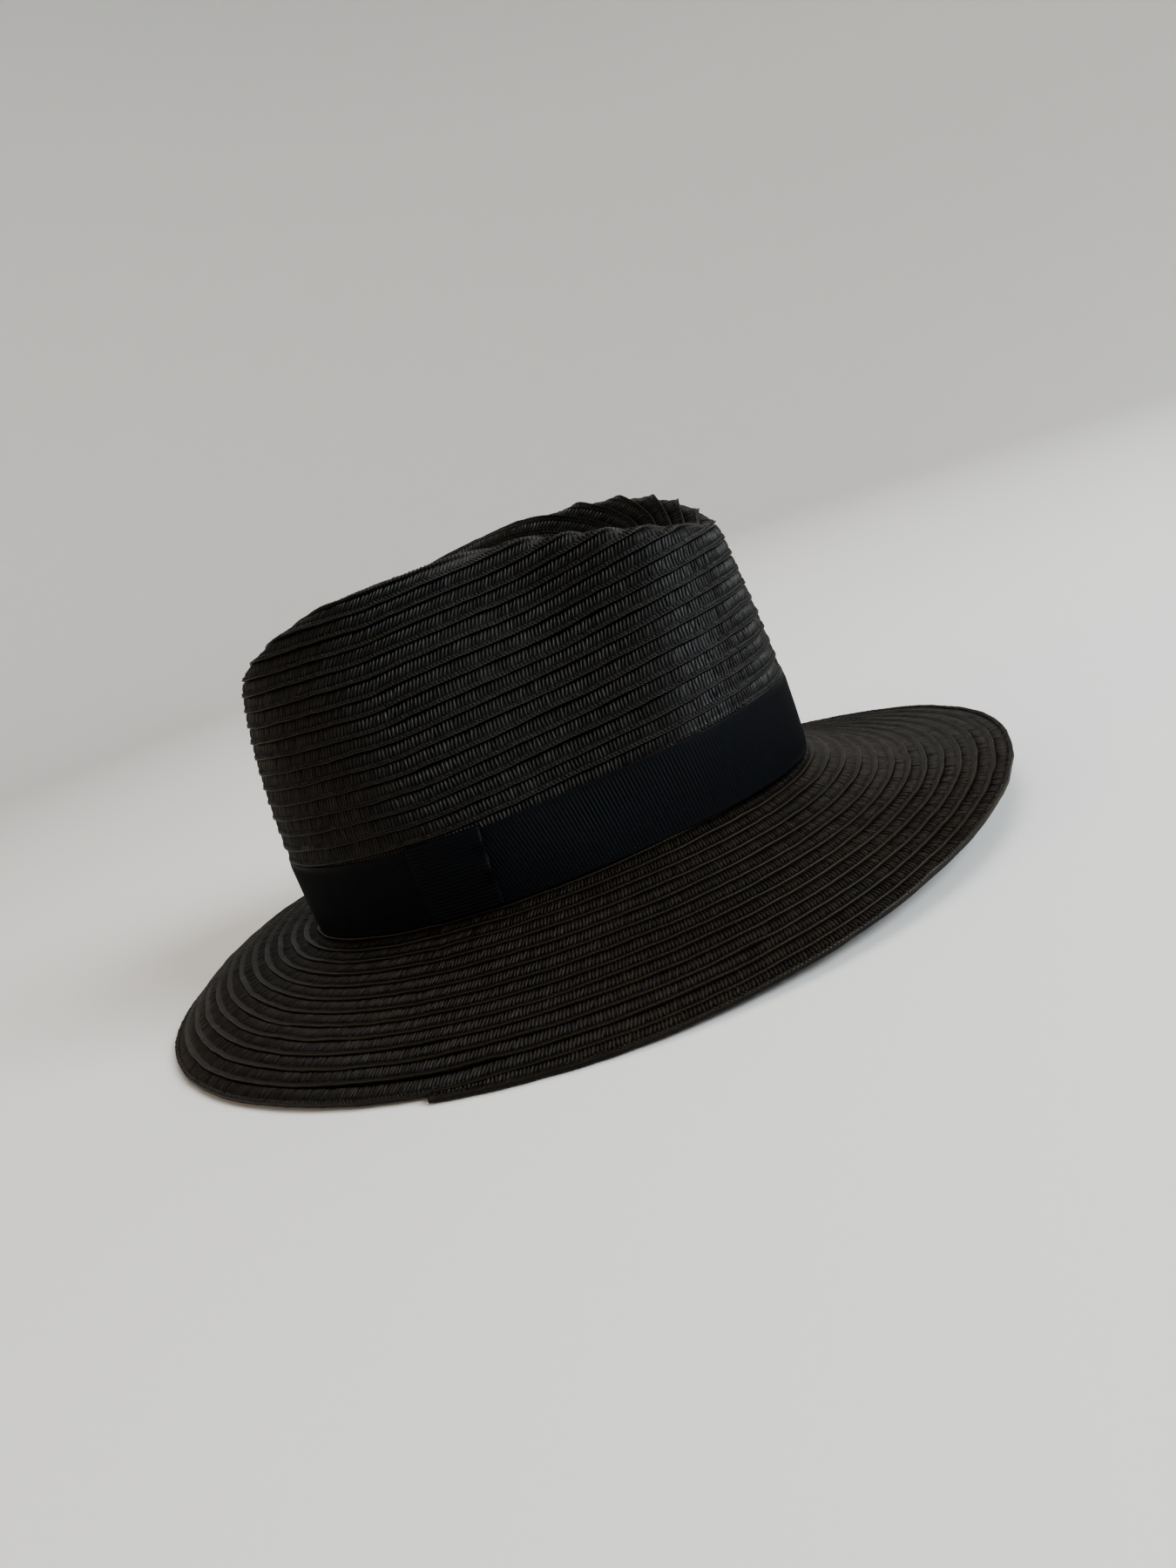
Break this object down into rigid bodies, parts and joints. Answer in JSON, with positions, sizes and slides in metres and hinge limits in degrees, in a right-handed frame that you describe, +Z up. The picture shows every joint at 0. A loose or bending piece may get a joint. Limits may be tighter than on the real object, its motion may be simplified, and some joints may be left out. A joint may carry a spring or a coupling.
{
  "type": "straw fedora hat",
  "caption": "dark braided straw hat with a pinched teardrop crown, a wide sloping brim and a ribbed ribbon band held by a flat loop",
  "frame": {"origin": "on the ground under the middle of the hat's bounding box", "axes": "+Z up, the front of the hat faces -Y, and the wearer's right is at -X"},
  "size_m": [0.3013, 0.3477, 0.1432],
  "materials": {
    "straw_crown": "sewn flat braid of dyed paper straw, nearly black, with a faint satin sheen",
    "straw_brim": "sewn flat braid of dyed paper straw, nearly black brown, with a faint satin sheen",
    "ribbon": "ribbed grosgrain ribbon, nearly black, matte"
  },
  "bodies": {
    "root": {"crown": "straw_crown", "brim": "straw_brim", "ribbon_band": "ribbon", "ribbon_loop": "ribbon"}
  },
  "joints": []
}
